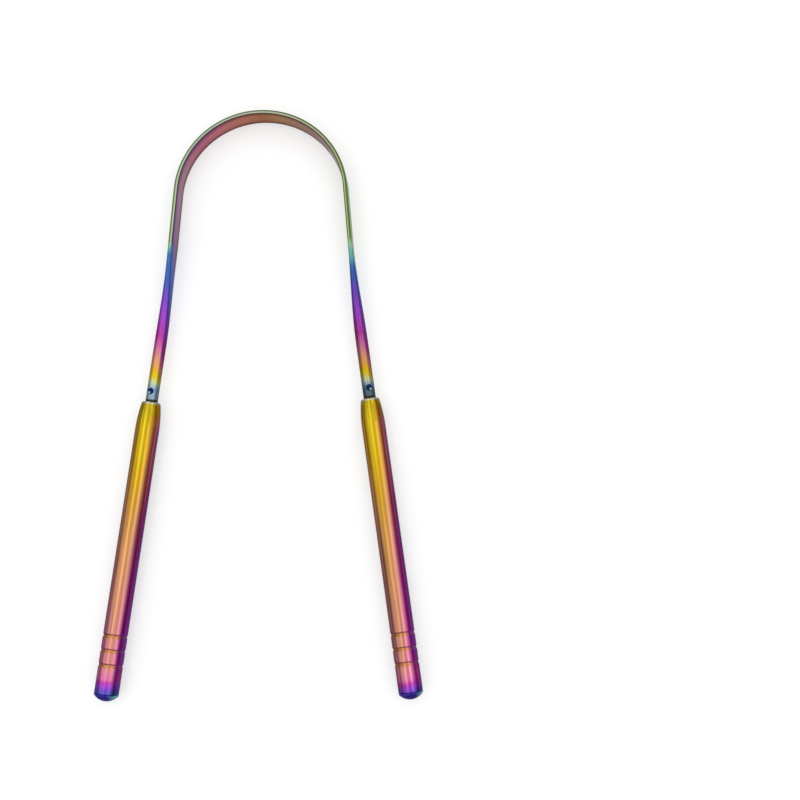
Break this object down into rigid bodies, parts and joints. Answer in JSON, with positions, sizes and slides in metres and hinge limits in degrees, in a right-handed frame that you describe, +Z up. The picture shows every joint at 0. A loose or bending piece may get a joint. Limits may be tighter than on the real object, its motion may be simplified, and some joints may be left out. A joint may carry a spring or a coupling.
{
  "type": "tongue scraper",
  "caption": "U-shaped metal tongue scraper: a springy wire rolled flat over its loop, with a tube handle swaged and crimped onto each leg and closed by a domed plug.",
  "frame": {"origin": "on the surface that the scraper lies on, under the middle of its box", "axes": "+Z up from that surface, +Y along the scraper from the handles to the loop, +X to the right handle"},
  "size_m": [0.0806, 0.15, 0.0066],
  "materials": {
    "band_steel": "polished, rainbow coating",
    "handle_steel": "polished, rainbow coating",
    "plug_steel": "polished, rainbow coating"
  },
  "bodies": {
    "bow": {"scraper_band": "band_steel"},
    "left_arm": {"left_handle_tube": "handle_steel", "left_end_plug": "plug_steel"},
    "right_arm": {"right_handle_tube": "handle_steel", "right_end_plug": "plug_steel"}
  },
  "joints": [
    {"name": "left_arm_flex", "type": "hinge", "parent": "bow", "child": "left_arm", "pos_m": [-0.014, 0.0664, 0.0033], "axis": [0, 0, 1], "range_deg": [-5, 8], "stiffness_Nm_per_rad": 2.9, "deforming": ["scraper_band"]},
    {"name": "right_arm_flex", "type": "hinge", "parent": "bow", "child": "right_arm", "pos_m": [0.014, 0.0664, 0.0033], "axis": [0, 0, -1], "range_deg": [-5, 8], "stiffness_Nm_per_rad": 2.9, "deforming": ["scraper_band"]}
  ]
}
